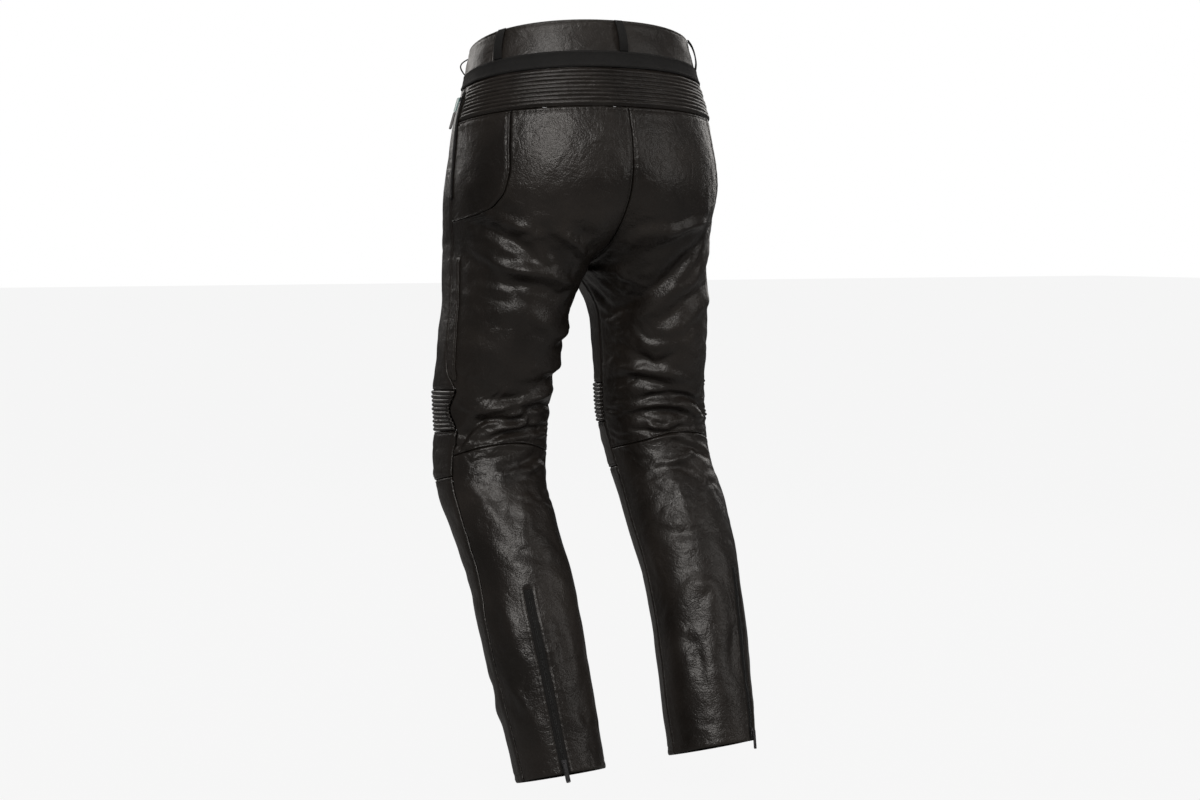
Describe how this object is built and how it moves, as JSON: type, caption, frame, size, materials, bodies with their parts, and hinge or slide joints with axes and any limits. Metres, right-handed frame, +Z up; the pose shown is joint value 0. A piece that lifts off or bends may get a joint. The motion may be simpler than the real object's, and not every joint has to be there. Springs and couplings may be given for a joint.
{
  "type": "motorcycle trousers",
  "caption": "Black leather riding trousers in worn form, with ribbed stretch panels over the seat and knees, zips at the calves and belt loops.",
  "frame": {"origin": "middle of the waist opening, at the waistband's top edge, where the wearer's waist holds the trousers", "axes": "+X to the wearer's left, +Y to the back, +Z up along the wearer"},
  "size_m": [0.4229, 0.3785, 1.0257],
  "materials": {
    "leather": "black grained leather, satin",
    "textile": "matt woven textile",
    "zip_tape": "woven zip tape and teeth",
    "zip_metal": "black painted zip metal",
    "teal_plastic": "moulded teal plastic",
    "grey_plastic": "moulded grey plastic"
  },
  "bodies": {
    "trousers": {"belt_loop_centre": "textile", "belt_loop_front_left": "textile", "belt_loop_front_right": "textile", "belt_loop_side_left": "textile", "belt_loop_side_right": "textile", "brace_loop_left": "textile", "brace_loop_right": "textile", "calf_left": "leather", "calf_right": "leather", "calf_slider_left": "zip_metal", "calf_slider_right": "zip_metal", "calf_zip_left": "zip_tape", "calf_zip_right": "zip_tape", "connector_flap": "textile", "fly_flap": "leather", "front_left": "leather", "front_right": "leather", "hip_left": "leather", "hip_right": "leather", "knee_cap_left": "leather", "knee_cap_right": "leather", "knee_ribs_left": "leather", "knee_ribs_right": "leather", "pocket_slider_left": "zip_metal", "pocket_slider_right": "zip_metal", "pocket_zip_left": "zip_tape", "pocket_zip_right": "zip_tape", "rib_panel_back": "leather", "seat_left": "leather", "seat_right": "leather", "shin_left": "leather", "shin_right": "leather", "snap_button": "zip_metal", "thigh_welt_left": "zip_tape", "thigh_welt_right": "zip_tape", "waist_tab": "leather", "waistband_back": "leather", "waistband_front_left": "leather", "waistband_front_right": "leather"},
    "leg_pull_left": {"calf_pull_left": "zip_metal"},
    "leg_pull_right": {"calf_pull_right": "zip_metal"},
    "pocket_pull_left": {"pocket_pull_head_left": "teal_plastic", "pocket_pull_grip_left": "grey_plastic"},
    "pocket_pull_right": {"pocket_pull_head_right": "teal_plastic", "pocket_pull_grip_right": "grey_plastic"}
  },
  "joints": [
    {"name": "leg_pull_left_swing", "type": "hinge", "parent": "trousers", "child": "leg_pull_left", "pos_m": [0.14104, 0.22754, -0.94198], "axis": [0.9483, -0.2712, -0.1645], "range_deg": [0, 120]},
    {"name": "leg_pull_right_swing", "type": "hinge", "parent": "trousers", "child": "leg_pull_right", "pos_m": [-0.15309, 0.22159, -0.93957], "axis": [0.8346, 0.4638, 0.2972], "range_deg": [0, 120]},
    {"name": "pocket_pull_left_swing", "type": "hinge", "parent": "trousers", "child": "pocket_pull_left", "pos_m": [0.18502, -0.00223, -0.07708], "axis": [-0.0636, -0.9979, -0.0089], "range_deg": [0, 120]},
    {"name": "pocket_pull_right_swing", "type": "hinge", "parent": "trousers", "child": "pocket_pull_right", "pos_m": [-0.18502, -0.00223, -0.07708], "axis": [-0.0636, 0.9979, 0.0089], "range_deg": [0, 120]}
  ]
}
